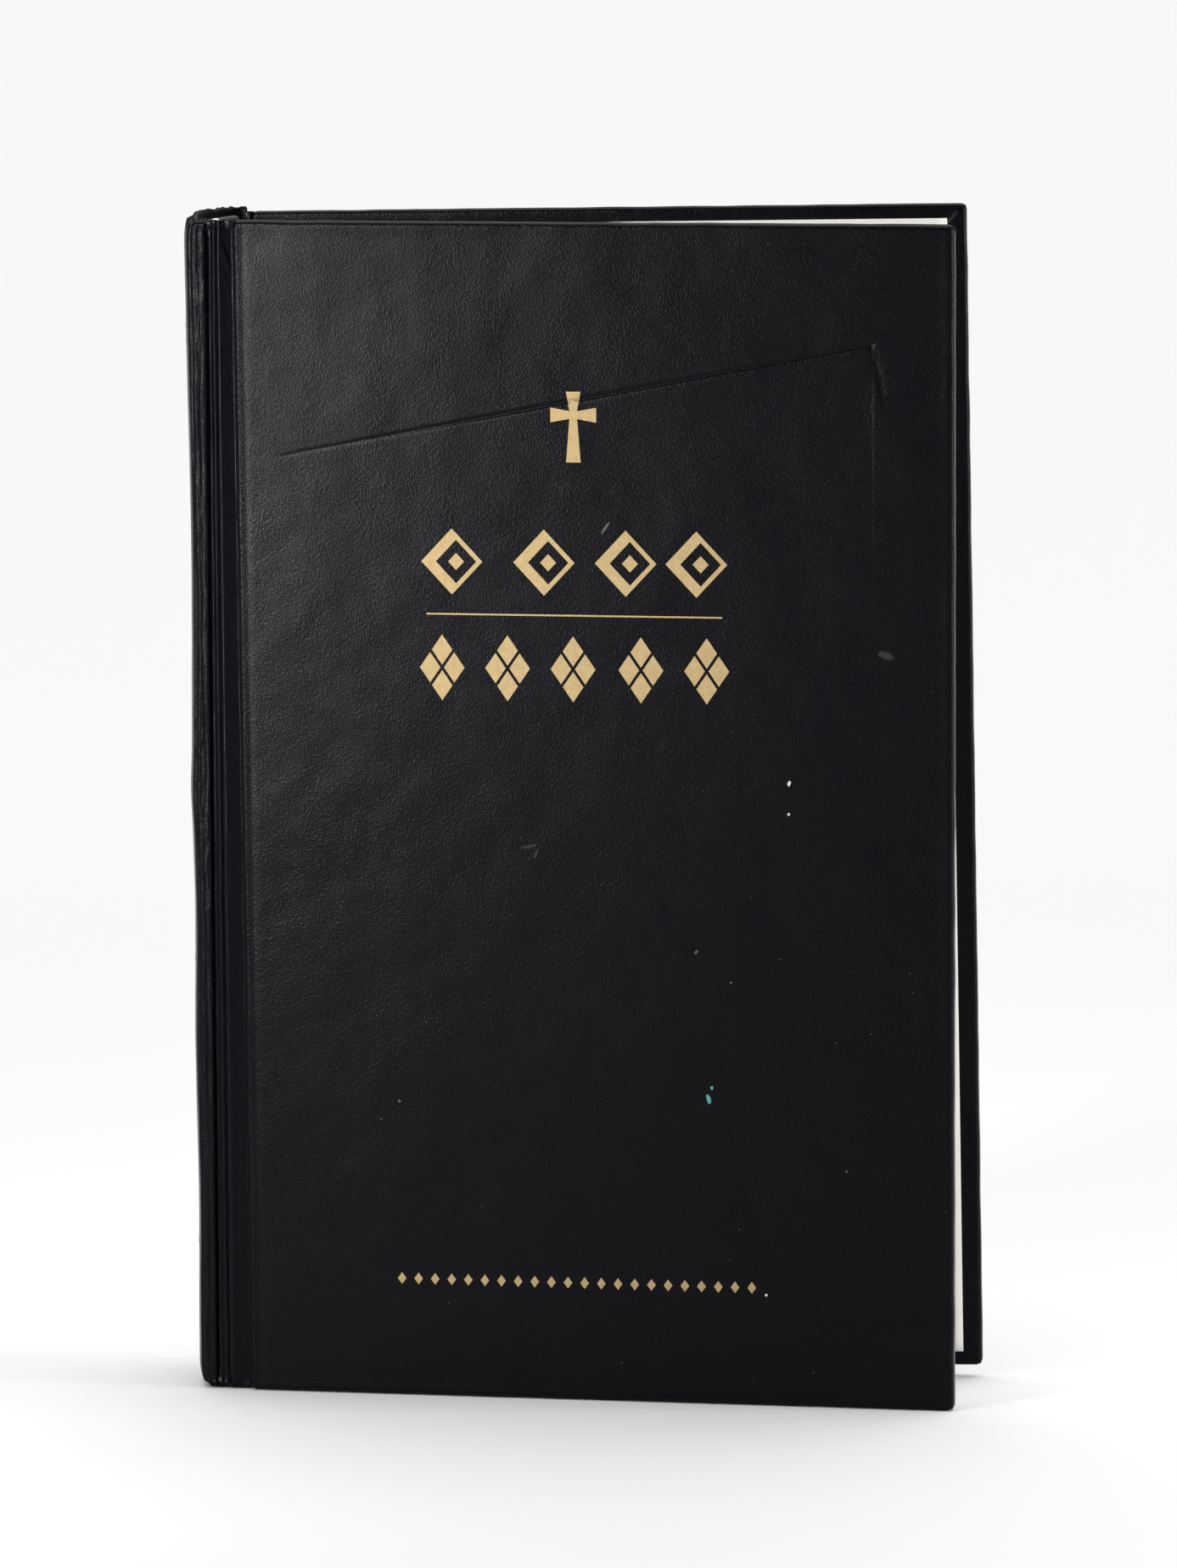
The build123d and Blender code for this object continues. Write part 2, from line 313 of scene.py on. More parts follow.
def leather_material(name="black_leather", grain=0.032, gloss=0.275, creasing=0.0, marks=()):
    """Black imitation leather: small slanting pebbles, a little dusty, streaked where it flexes."""
    n = Nodes(name)
    plain = n.place()
    slanted = n.place((1.9, 1.9, 1.15), (0, 28, 0))
    pebbles = n.ramp(n.noise(slanted, 1.9, 1.0, 0.4), [(0.40, 0.0), (0.90, 1.0)])
    pores = n.noise(plain, 4.0, 2.0, 0.5)
    height = n.math("ADD", pebbles, n.math("MULTIPLY", pores, 0.12))
    relief = n.bump(n.noise(plain, 0.06, 2.0), 0.5, 0.8)
    if creasing:
        streaks = n.noise(n.place((1.2, 1.2, 0.2)), 1.0, 1.5, 0.4, 0.3)
        relief = n.bump(streaks, 1.0, creasing, under=relief)
    relief = n.bump(height, 1.0, grain, under=relief)
    patches = n.noise(plain, 0.045, 4.0, 0.55)
    roughness = n.math("ADD", gloss - 0.06, n.math("MULTIPLY", patches, 0.14))
    colour = n.mix(pores, (0.0008, 0.0008, 0.0026), (0.0020, 0.0020, 0.0038))
    if not creasing:
        dust = n.ramp(n.cells(plain, 0.32), [(0.0, 1.0), (0.025, 1.0), (0.04, 0.0)])
        rare = n.ramp(n.noise(plain, 0.05, 1.0), [(0.52, 0.0), (0.60, 1.0)])
        colour = n.mix(n.math("MULTIPLY", dust, rare), colour, (0.16, 0.16, 0.15))
    for *shape, tone in marks:
        colour = n.mix(fleck(n, *shape), colour, tone)
    return n.finish(colour, roughness, relief, specular_ior_level=0.105)


def fleck(n, x, z, width, tall, tilt):
    """A ragged little ellipse on the face of the front cover, 1 inside and 0 outside."""
    source = n.add("ShaderNodeTexCoord").outputs["Object"]
    values = [
        ("Vector", source),
        ("Location", (FOLD_X + x * MM, 0, z * MM)),
        ("Rotation", (0, math.radians(tilt), 0)),
        ("Scale", (width / 2 * MM, 100, tall / 2 * MM)),
    ]
    placed = n.add("ShaderNodeMapping", values, vector_type="TEXTURE")
    away = n.add("ShaderNodeVectorMath", [(0, placed.outputs[0])], operation="LENGTH")
    ragged = n.math("ADD", away.outputs["Value"], n.noise(n.place(), 3.5, 2.0))
    return n.ramp(n.math("MULTIPLY", ragged, 0.5), [(0.62, 1.0), (0.74, 0.0)])


def gold_material():
    """Stamped gold foil: bright, slightly broken by the grain under it."""
    n = Nodes("gold_foil")
    where = n.place()
    grain = n.noise(where, 3.2, 4.0, 0.65)
    broken = n.noise(where, 0.9, 3.0, 0.6)
    pressed = n.bump(grain, 0.8, 0.05)
    tone = n.mix(broken, (0.38, 0.28, 0.135), (0.54, 0.42, 0.235))
    roughness = n.math("ADD", 0.56, n.math("MULTIPLY", grain, 0.2))
    return n.finish(tone, roughness, pressed, metallic=1.0)


def page_material():
    """Thin bible paper, warm white, with the faint shadow of leaf upon leaf at its edges."""
    n = Nodes("bible_paper")
    where = n.place()
    fibre = n.noise(where, 0.8, 5.0, 0.6)
    leaf = n.noise(n.place((0.02, 9.0, 0.02)), 1.0, 2.0, 0.7)
    paper = n.mix(fibre, (0.88, 0.865, 0.83), (0.93, 0.92, 0.89))
    shaded = n.mix(n.ramp(leaf, [(0.3, 0.30), (0.6, 0.0)]), paper, (0.66, 0.64, 0.60))
    normal = n.bump(fibre, 0.3, 0.03)
    return n.finish(shaded, 0.82, normal, specular_ior_level=0.25)


def endpaper_material():
    """Heavier white paper of the pastedowns and flyleaves, with a soft fibre pattern."""
    n = Nodes("end_paper")
    where = n.place()
    fibre = n.noise(where, 0.55, 6.0, 0.62)
    cloud = n.noise(where, 0.03, 3.0)
    paper = n.mix(fibre, (0.80, 0.785, 0.74), (0.88, 0.87, 0.83))
    colour = n.mix(n.ramp(cloud, [(0.35, 0.0), (0.75, 0.18)]), paper, (0.70, 0.66, 0.57))
    return n.finish(colour, 0.8, n.bump(fibre, 0.35, 0.05), specular_ior_level=0.25)


def board_material():
    """Grey millboard, pressed pulp with darker flecks."""
    n = Nodes("grey_board")
    where = n.place()
    pulp = n.noise(where, 1.4, 5.0, 0.7)
    flecks = n.ramp(n.noise(where, 3.0, 2.0), [(0.62, 0.0), (0.7, 0.7)])
    colour = n.mix(flecks, n.mix(pulp, (0.26, 0.24, 0.21), (0.38, 0.36, 0.32)), (0.12, 0.10, 0.09))
    return n.finish(colour, 0.9, n.bump(pulp, 0.5, 0.1))


def fibre_material(name, grain, dark, light, roughness, relief, stretch=(1, 1, 1)):
    """Card or kraft paper: two tones mixed by its fibres, which also stand out a little."""
    n = Nodes(name)
    fibre = n.noise(n.place(stretch), *grain)
    return n.finish(n.mix(fibre, dark, light), roughness, n.bump(fibre, *relief))


def weave_material(name, dark, light, pitch):
    """Plain woven cloth: warp over weft at the given pitch in millimetres."""
    n = Nodes(name)
    turns = 2 * math.pi / pitch
    parts = n.add("ShaderNodeSeparateXYZ", [(0, n.place())])
    warp = n.math("SINE", n.math("MULTIPLY", parts.outputs["Y"], turns))
    weft = n.math("SINE", n.math("MULTIPLY", parts.outputs["Z"], turns))
    cloth = n.math("MULTIPLY_ADD", n.math("MULTIPLY", warp, weft), 0.5)
    cloth.node.inputs[2].default_value = 0.5
    fuzz = n.noise(n.place(), 6.0, 2.0)
    tone = n.math("ADD", n.math("MULTIPLY", cloth, 0.7), n.math("MULTIPLY", fuzz, 0.3))
    colour = n.mix(tone, dark, light)
    return n.finish(colour, 0.9, n.bump(tone, 0.7, 0.12), sheen_weight=0.2)


def silk_material(name, colour, sheen=0.3):
    """Wound silk thread: fine twist lines and a soft lustre."""
    n = Nodes(name)
    twist = n.noise(n.place((2.5, 1, 2.5)), 3.0, 3.0)
    dark = tuple(0.6 * c for c in colour)
    return n.finish(n.mix(twist, dark, colour), 0.5, n.bump(twist, 0.5, 0.05), sheen_weight=sheen)


def floor_material():
    """Pale paper with painted shade: a shade darker near the middle, where the lamps stand close to
    it.
    """
    n = Nodes("studio_floor")
    where = n.add("ShaderNodeTexCoord").outputs["Object"]
    away = n.add("ShaderNodeVectorMath", [(0, where)], operation="LENGTH").outputs["Value"]
    # painted shade: the floor's colour is darker within about a metre of the middle, around the
    # book
    colour = n.ramp(away, [(0.25, (0.80, 0.79, 0.79)), (1.0, (0.885, 0.875, 0.875))])
    return n.finish(colour, 0.7, specular_ior_level=0.2)


WHITE_DUST = (0.62, 0.62, 0.58)
GREY_DUST = (0.10, 0.10, 0.10)
PALE_SCUFF = (0.028, 0.028, 0.031)
TEAL = (0.10, 0.34, 0.32)
# x, height, width, length, tilt and colour of the marks that use has left on the front cover
WEAR_MARKS = (
    (109.4, 115.5, 0.65, 1.2, 10, WHITE_DUST),
    (109.3, 109.8, 0.55, 0.7, 0, WHITE_DUST),
    (94.3, 56.8, 0.9, 2.0, -15, TEAL),
    (94.9, 58.9, 0.6, 0.8, 0, TEAL),
    (60.7, 103.0, 3.6, 0.5, -12, PALE_SCUFF),
    (62.0, 101.6, 0.6, 2.2, 25, PALE_SCUFF),
    (127.4, 139.3, 3.4, 1.5, 20, PALE_SCUFF),
    (75.2, 162.0, 0.5, 3.0, 35, GREY_DUST),
    (105.0, 20.6, 0.6, 0.6, 0, WHITE_DUST),
    (92.0, 84.0, 0.5, 1.0, 30, GREY_DUST),
    (98.5, 78.5, 0.5, 0.5, 0, GREY_DUST),
    (120.0, 44.0, 0.5, 0.5, 0, GREY_DUST),
    (36.0, 55.0, 0.6, 0.6, 0, GREY_DUST),
)
MANILA = ((0.46, 0.40, 0.30), (0.58, 0.52, 0.41))
KRAFT = ((0.28, 0.17, 0.085), (0.42, 0.28, 0.16))
MATERIALS = {
    "black_leather": leather_material(),
    "gold_foil": gold_material(),
    "bible_paper": page_material(),
    "end_paper": endpaper_material(),
    "grey_board": board_material(),
    "card": fibre_material("card", (0.9, 5.0, 0.6), *MANILA, 0.85, (0.3, 0.05)),
    "kraft_paper": fibre_material(
        "kraft_paper", (1.2, 5.0, 0.7), *KRAFT, 0.88, (0.4, 0.06), (1, 2.5, 0.4)
    ),
    "mull_cloth": weave_material("mull_cloth", (0.45, 0.42, 0.35), (0.78, 0.75, 0.67), 1.1),
    "linen_tape": weave_material("linen_tape", (0.40, 0.35, 0.26), (0.74, 0.69, 0.57), 0.6),
    "linen_thread": silk_material("linen_thread", (0.80, 0.76, 0.66)),
    "band_silk": silk_material("band_silk", (0.86, 0.86, 0.84)),
}
# dark silk of the band's dark turns, also used as painted shade where the cap shades the back of
# the band
DARK_SILK_AND_SHADE = silk_material("band_silk_dark_and_shade", (0.006, 0.006, 0.007), 0.0)
SHOULDER_LEATHER = leather_material("shoulder_leather", 0.035, 0.31, 0.16)
GROOVE_LEATHER = leather_material("groove_leather", 0.012, 0.26, 0.06)
FRONT_LEATHER = leather_material("front_leather", marks=WEAR_MARKS)


def dress(thing, slot, body, *nodes, material=None):
    """Give a piece its material, its body and the frame nodes that it stands for."""
    thing.data.materials.append(material or MATERIALS[slot])
    if body is not None:
        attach(thing, body)
    if nodes:
        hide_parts(*nodes)


# ---- cover skins

EDGE_MARGIN = 1.8
OUTER_ROUND = 1.1
INNER_ROUND = 0.8
JOINT_ROLL = 3.4
JOINT_DROP = 0.45
JOINT_TUCK = 0.18
MITRE_TUCK = 0.1
CREASE_LEFT = (14.8, 174.7)
CREASE_RIGHT = (124.7, 196.0)
CREASE_FOOT = (127.5, 185.7)
CREASE_SHARE = 0.84
CREASE_DEPTH = 0.26
CREASE_WIDTH = 0.5


def crease_height(x):
    """Height of the pressed line above the floor, along the front cover."""
    slope = (CREASE_RIGHT[1] - CREASE_LEFT[1]) / (CREASE_RIGHT[0] - CREASE_LEFT[0])
    return CREASE_LEFT[1] + slope * (x - CREASE_LEFT[0])


def joint_edge(side, z):
    """Where the skin of a cover starts beside the groove, at a height."""
    return SKIN_START + (lean(z, FRONT_LEAN) if side == FRONT else 0)


def warp(side, x, z):
    """Slow unevenness of a worn cover, always inwards from flat."""
    seed = 3.0 if side == FRONT else 9.0
    slow = 0.5 + 0.5 * wobble(x / 45, z / 45, seed)
    medium = 0.5 + 0.5 * wobble(x / 14, z / 14, seed + 5)
    return -0.12 * slow - 0.05 * medium


def pressed_crease(x, z):
    """The bent line that something left pressed in the front cover."""
    along = smooth_step(ramp(x, CREASE_LEFT[0], 70)) * (x < CREASE_RIGHT[0] + 0.3)
    across = z - crease_height(x)
    line = smooth_step(1 - abs(across) / CREASE_WIDTH) * (0.3 + 0.7 * along) * (x > CREASE_LEFT[0])
    drop = CREASE_RIGHT[1] - z
    leg_x = CREASE_RIGHT[0] + drop * (CREASE_FOOT[0] - CREASE_RIGHT[0]) / (
        CREASE_RIGHT[1] - CREASE_FOOT[1]
    )
    leg = smooth_step(1 - abs(x - leg_x) / CREASE_WIDTH) * (0 < drop) * smooth_step(2 - drop / 6)
    sheet = smooth_step(-across / 9) * along * (across < 0) * smooth_step(1 + across / 60)
    return -CREASE_DEPTH * max(line * (x < CREASE_RIGHT[0] + 0.5), 0.8 * leg) - 0.07 * sheet


def cover_surface(side, x, z):
    """Depth of a cover's outer face, which rolls over towards the groove."""
    from_joint = (x - joint_edge(side, z)) / JOINT_ROLL
    depth = COVER_OUT + warp(side, x, z) - JOINT_DROP * (1 - ramp(from_joint, 0, 1)) ** 2
    if side == FRONT:
        depth += pressed_crease(x, z)
    return depth


def cover_columns(side):
    """Places across the face, closer together at the short leg of the crease."""
    columns = spread(0, 0.03, 8)[:-1] + spread(0.03, 1, 86)
    if side == FRONT:
        span = FORE_EDGE - SKIN_START - 2 * EDGE_MARGIN
        near = spread(CREASE_RIGHT[0] - 1, CREASE_FOOT[0] + 1, 14)
        columns += [(x - SKIN_START - EDGE_MARGIN) / span for x in near]
    return sorted(columns)


def cover_rows():
    """Heights up the face as (share, offset): rows crowd along the crease, which slants."""
    low = [(share, 0.0) for share in spread(0, CREASE_SHARE, 110)[:-2]]
    high = [(share, 0.0) for share in spread(CREASE_SHARE, 1, 24)[2:]]
    near = [(CREASE_SHARE, CREASE_WIDTH * step) for step in (-2, -1, -0.6, -0.3, 0, 0.3, 0.6, 1, 2)]
    return low + near + high


def face_point(side, column, row):
    share, offset = row
    low = EDGE_MARGIN
    high = CASE_HEIGHT - EDGE_MARGIN
    x_right = FORE_EDGE - EDGE_MARGIN
    x = SKIN_START + EDGE_MARGIN + column * (x_right - SKIN_START - EDGE_MARGIN)
    middle = crease_height(x)
    if share < CREASE_SHARE:
        z = low + (middle - low) * share / CREASE_SHARE
    else:
        z = middle + (high - middle) * (share - CREASE_SHARE) / (1 - CREASE_SHARE)
    z += offset
    x += (joint_edge(side, z) - SKIN_START) * (1 - column)
    return x, cover_surface(side, x, z), z


def edge_profile():
    """The skin round the edge as (outwards from the face's border, depth) steps."""
    reach = EDGE_MARGIN
    steps = [(reach - OUTER_ROUND, COVER_OUT - 0.02)]
    for angle in spread(20, 90, 5):
        a = math.radians(angle)
        depth = COVER_OUT - OUTER_ROUND * (1 - math.cos(a))
        steps.append((reach - OUTER_ROUND * (1 - math.sin(a)), depth))
    for angle in spread(0, 90, 5):
        a = math.radians(angle)
        depth = PASTEDOWN_OUT + INNER_ROUND * (1 - math.sin(a))
        steps.append((reach - INNER_ROUND * (1 - math.cos(a)), depth))
    for inset in (0.0, 4.0, 8.0, 11.0, TURN_IN - EDGE_MARGIN - 0.4, TURN_IN - EDGE_MARGIN):
        steps.append((-inset, PASTEDOWN_OUT))
    return steps


def border_walk(columns, rows):
    """Round the face's border: each point's index in the grid, and which way is outwards."""
    walk = []

    def turn(index, start):
        for angle in spread(start, start + 90, 5):
            across, up = math.cos(math.radians(angle)), math.sin(math.radians(angle))
            fuller = (across**4 + up**4) ** -0.25
            walk.append((index, across * fuller, up * fuller))

    last = (rows - 1) * columns
    turn(0, 180)
    walk.extend((c, 0.0, -1.0) for c in range(1, columns - 1))
    turn(columns - 1, 270)
    walk.extend((r * columns + columns - 1, 1.0, 0.0) for r in range(1, rows - 1))
    turn(last + columns - 1, 0)
    walk.extend((last + c, 0.0, 1.0) for c in range(columns - 2, 0, -1))
    turn(last, 90)
    walk.extend((r * columns, -1.0, 0.0) for r in range(rows - 2, 0, -1))
    return walk


def edge_point(base, out_x, out_z, reach, depth, side):
    """A point of the wrapped edge; inside the border the corners meet in a mitre."""
    x, _, z = base
    middle_x = (SKIN_START + FORE_EDGE) / 2
    middle_z = CASE_HEIGHT / 2
    if reach < 0:
        x += (middle_x - x) * -2 * reach / (FORE_EDGE - SKIN_START - 2 * EDGE_MARGIN)
        z += (middle_z - z) * -2 * reach / (CASE_HEIGHT - 2 * EDGE_MARGIN)
        mitred = out_x and out_z and abs(out_x) + abs(out_z) > 1
        depth += 0.06 * wobble(x / 5, z / 5, 30.0 + side) - 0.02 + (MITRE_TUCK if mitred else 0)
        depth += JOINT_TUCK if out_x < -0.5 else 0
        return x, depth, z
    worn = 0.10 * wobble(x / 7, z / 7, 20.0 + side) * ramp(reach, 0.5, EDGE_MARGIN)
    reach += worn
    return x + reach * out_x, depth + 0.4 * worn, z + reach * out_z


def cover_skin(side):
    """The leather of one board: face, rounded edges, and turn-ins mitred at the corners."""
    columns = cover_columns(side)
    rows = cover_rows()
    points = [face_point(side, column, row) for row in rows for column in columns]
    faces = grid_faces(len(rows), len(columns))
    walk = border_walk(len(columns), len(rows))
    ring = [index for index, _, _ in walk]
    for reach, depth in edge_profile():
        first = len(points)
        for index, out_x, out_z in walk:
            points.append(edge_point(points[index], out_x, out_z, reach, depth, side))
        following = list(range(first, first + len(walk)))
        for i in range(len(walk)):
            k = (i + 1) % len(walk)
            corners = (ring[k], ring[i], following[i], following[k])
            faces.append(corners[1:] if ring[k] == ring[i] else corners)
        ring = following
    name = SIDE_NAME[side]
    skin = new_object(f"{name}_cover_skin", points, flipped(faces), side)
    merge_points(skin)
    skin.data.transform(at_rest(side))
    thicken(skin, LEATHER)
    leather = FRONT_LEATHER if side == FRONT else None
    dress(skin, "black_leather", f"{name}_cover", f"{name}_cover_leather", material=leather)


# ---- inside the covers

BOARD_ARRIS = 0.6
PASTEDOWN_START = SKIN_START + 0.5
PASTEDOWN_LEAN_REACH = 20.0
STRIP_START = 0.1
STRIP_LAP = 1.1


def board_core(side):
    """The grey board, a flat block with softened arrises."""
    name = SIDE_NAME[side]
    inset = LEATHER + 0.1
    xs = (joint_edge(side, 0) + LEATHER, FORE_EDGE - inset)
    depths = (BOARD_IN, BOARD_OUT - 0.2)
    heights = (inset, CASE_HEIGHT - inset)
    points = [(x, depth, z) for z in heights for depth in depths for x in xs]
    faces = [(0, 2, 3, 1), (4, 5, 7, 6), (0, 1, 5, 4), (2, 6, 7, 3), (0, 4, 6, 2), (1, 3, 7, 5)]
    core = new_object(f"{name}_board_core", points, faces, side, smooth=False)
    core.data.transform(at_rest(side))
    bevel = core.modifiers.new("edges", "BEVEL")
    bevel.width = BOARD_ARRIS * MM
    bevel.segments = 3
    bevel.limit_method = "ANGLE"
    dress(core, "grey_board", f"{name}_cover", f"{name}_board")


def pastedown_depth(x, z, side):
    """Paper glued over the turn-ins, whose inner edge shows as a low step."""
    to_edge = min(FORE_EDGE - x, z, CASE_HEIGHT - z)
    step = smooth_step(ramp(to_edge, TURN_IN - 0.8, TURN_IN + 0.8))
    return PASTEDOWN_IN + 0.10 * step + 0.03 * wobble(x / 9, z / 9, 40.0 + side)


def around(edge):
    """Places crowded about the inner edge of a turn-in."""
    return [edge + gap for gap in (-0.8, -0.4, 0.0, 0.4, 0.8)]


def pastedown_sheet(side):
    """The paper inside a cover: its near edge leans with the cover, and the rest is square."""
    name = SIDE_NAME[side]
    xs = sorted(spread(PASTEDOWN_START, LEAF_WIDTH, 70) + around(FORE_EDGE - TURN_IN))
    zs = spread(LEAF_LOW, LEAF_HIGH, 100) + around(TURN_IN) + around(CASE_HEIGHT - TURN_IN)
    points = []
    for z in sorted(zs):
        leant = joint_edge(side, z) - SKIN_START
        for x in xs:
            share = max(0.0, 1 - (x - PASTEDOWN_START) / PASTEDOWN_LEAN_REACH)
            points.append((x + leant * share, pastedown_depth(x, z, side), z))
    paper = sheet(f"{name}_pastedown_sheet", points, len(xs), side, PAPER)
    paper.data.transform(at_rest(side))
    dress(paper, "end_paper", f"{name}_cover", f"{name}_pastedown")


def flyleaf_sheet(side):
    """A free leaf that lifts a little from the pages towards its fore-edge."""
    name = SIDE_NAME[side]
    xs = [0.3, 1.2, 2.2, 3.0, 3.4, 3.8, 4.3, 5.0, 7.0] + spread(10, LEAF_WIDTH - 0.1, 30)
    zs = spread(LEAF_LOW, LEAF_HIGH - 0.05, 44)
    points = []
    for z in zs:
        for x in xs:
            lift = 0.75 * (x / LEAF_WIDTH) ** 2 * (1 + 0.35 * wobble(x / 60, z / 50, 60.0 + side))
            slid = x * fore_edge(z) / LEAF_WIDTH
            points.append((slid, FLYLEAF_IN + 0.02 + lift, z + page_lift(x, z)))
    leaf = sheet(f"{name}_flyleaf_sheet", points, len(xs), side, PAPER)
    dress(leaf, "end_paper", None, f"{name}_flyleaf")
    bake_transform(leaf)


def groove_place(side, x, depth, z):
    """A place of a groove at rest: the nearer to the cover, the more it has opened with it."""
    place = spot(x, side * depth, z)
    turned = place.lerp(swing(side) @ place, smooth_step(x / BOARD_START))
    return (turned.x - FOLD_X) / MM, side * turned.y / MM, z


def bend_with_cover(strip):
    """Bake a strip's place at rest into its points."""
    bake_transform(strip)


def lining_strip(side, part, slot, depth, end_gap):
    """A strip of cloth or paper across the groove, under the cover's near edge."""
    name = SIDE_NAME[side]
    columns = 12
    points = []
    for z in spread(end_gap, CASE_HEIGHT - end_gap, 60):
        far = SKIN_START + STRIP_LAP + groove_end(side, z)[0]
        for x in spread(STRIP_START, far, columns):
            bow = 0.10 * math.sin(math.pi * ramp(x, 0, BOARD_START)) * wobble(z / 20, side)
            points.append(groove_place(side, x, depth + bow, z))
    strip = sheet(f"{name}_{part}_strip", points, columns, side, STRIP, offset=0.0)
    dress(strip, slot, None, f"{name}_{part}_joint")
    bend_with_cover(strip)


# ---- text block

LEAVES = 16
FAN = {"outer": 75.0, "step": 10.0}
LEAF_FILL = 0.80


def section_taper(place):
    """How thin a section is at its fold, and how far from the fold it is whole again."""
    fan = math.radians(FAN["outer"] - FAN["step"] * place)
    step = math.radians(FAN["step"])
    fold = SECTION_THICKNESS * math.cos(fan - step) / math.cos(step) - 0.03
    reach = SECTION_THICKNESS * ((1 - math.cos(fan)) / math.tan(step) - math.sin(fan))
    return min(fold, SECTION_THICKNESS), max(reach + 0.17, 0.5)


def page_wave(x, z):
    """The gentle cockle of the closed pages, none at the folds."""
    return 0.22 * (x / LEAF_WIDTH) ** 2 * wobble(x / 70, z / 60, 70.0)


def fore_edge(z):
    """Where the pages end: the block has slipped a little towards the spine at its head."""
    foot = PAGE_SLANT["foot"]
    return LEAF_WIDTH - foot - (PAGE_SLANT["head"] - foot) * z / CASE_HEIGHT


def page_lift(x, z):
    """The block's head stands a little higher towards the fore-edge."""
    return PAGE_SLANT["lift"] * (x / LEAF_WIDTH) ** 2 * z / CASE_HEIGHT


def leaf_shell(outer, inner, trim, z_low, z_high, fold, reach):
    """Points and faces of one leaf: outer and inner are shares of the section's thickness."""
    xs = [0.0, 0.6, 1.6, 3.2, 5.5, 9.0, 20.0, 45.0, 75.0, 105.0, 125.0, LEAF_WIDTH]
    zs = spread(z_low, z_high, 10)
    points = []
    for share in (outer, inner):
        for z in zs:
            for x in xs:
                thick = fold + (SECTION_THICKNESS - fold) * ramp(x, 0, reach)
                slid = x * (fore_edge(z) - trim) / LEAF_WIDTH
                points.append((slid, -share * thick + page_wave(x, z), z + page_lift(x, z)))
    inside = grid_faces(len(zs), len(xs))
    outside = flipped(inside)
    count = len(zs) * len(xs)
    inside = [tuple(i + count for i in face) for face in inside]
    border = list(range(len(xs)))
    border += [r * len(xs) + len(xs) - 1 for r in range(1, len(zs))]
    border += [(len(zs) - 1) * len(xs) + c for c in range(len(xs) - 2, -1, -1)]
    border += [r * len(xs) for r in range(len(zs) - 2, 0, -1)]
    rim = []
    for i, a in enumerate(border):
        b = border[(i + 1) % len(border)]
        rim.append((a, b, b + count, a + count))
    return points, outside + inside + rim


def section_leaves(index):
    """A sewn section as a stack of thin leaves with slightly uneven edges."""
    half = SECTION_COUNT // 2
    side = FRONT if index < half else BACK
    place = index if side == FRONT else SECTION_COUNT - 1 - index
    outer_face = BLOCK_HALF - SECTION_THICKNESS * place
    fold, reach = section_taper(place)
    draw = random.Random(100 + index)
    points = []
    faces = []
    for leaf in range(LEAVES):
        outer = leaf / LEAVES
        inner = outer + LEAF_FILL / LEAVES
        ends = (
            0.25 * draw.random(),
            LEAF_LOW + 0.10 * draw.random(),
            LEAF_HIGH - 0.12 * draw.random(),
        )
        shell, sides = leaf_shell(outer, inner, *ends, fold, reach)
        first = len(points)
        points += [(x, outer_face + depth, z) for x, depth, z in shell]
        faces += [tuple(first + i for i in face) for face in sides]
    name = f"section_{index + 1:02d}"
    leaves = new_object(f"{name}_leaves", points, faces, side, smooth=False)
    leaves.data.set_sharp_from_angle(angle=math.radians(40))
    dress(leaves, "bible_paper", name, name)


# ---- spine skin and grooves

RIM = 0.75
HEAD_RISE = 1.1
HEAD_PULL = 1.5
PULL_HEIGHT = 4.5
SPINE_DENTS = ((158.0, 34.0, 0.55), (88.0, 14.0, 0.35), (36.0, 16.0, 0.3), (112.0, 5.0, -0.25))
SHOULDER = (
    (0.10, 15.12), (-0.10, 15.58), (-0.35, 15.88), (-0.90, 15.98),
    (-1.60, 16.00), (-2.40, 15.98), (-3.10, 15.86), (-3.65, 15.55),
    (-4.00, 15.05),
)
GROOVE = (
    (0.10, 15.12), (0.36, 15.30), (0.66, 15.36), (0.92, 15.24),
    (1.25, 15.14), (1.66, 15.38), (1.95, 15.80), (2.18, 15.96),
    (2.46, 15.98), (2.76, 15.84), (3.20, 15.62), (3.75, 15.38),
    (4.25, 15.22), (4.65, 15.12), (4.95, 15.16), (5.12, 15.42),
    (5.30, 15.68), (5.42, 15.80),
)
ARC_EDGE_Y = 14.6
GROOVE_COLUMNS = 60
SHOULDER_COLUMNS = 34
COLLAR = 1.9
COLLAR_REACH = 2.6
COLLAR_DEPTH = 15.5
# height, place from the border, seed and width of the folds along the shoulder and groove
LONG_FOLDS = (
    (-0.26, -3.6, 10, 0.26),
    (0.12, -2.9, 60, 0.35),
    (-0.20, -1.9, 20, 0.24),
    (0.10, 0.7, 30, 0.20),
    (0.10, 2.9, 40, 0.5),
)
SLANT = {"top": 214.0, "foot": 208.0, "start": 3.0, "across": 2.2, "height": 0.30}


def curve_through(points, count):
    """Evenly numbered points on a smooth curve through the given ones."""
    ends = [points[0], *points, points[-1]]
    found = []
    for i in range(count):
        t = i / (count - 1) * (len(points) - 1)
        k = min(int(t), len(points) - 2)
        u = t - k
        a, b, c, d = (Vector((*ends[k + j], 0)) for j in range(4))
        square = (2 * a - 5 * b + 4 * c - d) * u**2
        cube = (3 * b - a - 3 * c + d) * u**3
        point = 0.5 * (2 * b + (c - a) * u + square + cube)
        found.append((point.x, point.y))
    return found


def spine_arc(y, radius=SPINE_RADIUS):
    """How far behind the folds the round of the spine lies, y from its middle."""
    return SPINE_BACK + SPINE_RADIUS - math.sqrt(radius**2 - y**2)


def spine_outline():
    """Across the spine from the front groove to the back one, as (x, y) with y signed."""
    shoulder = curve_through(SHOULDER, SHOULDER_COLUMNS)
    front = [(x, -y) for x, y in shoulder]
    arc = [(spine_arc(y), y) for y in spread(-ARC_EDGE_Y, ARC_EDGE_Y, 46)]
    return front + arc + shoulder[::-1]


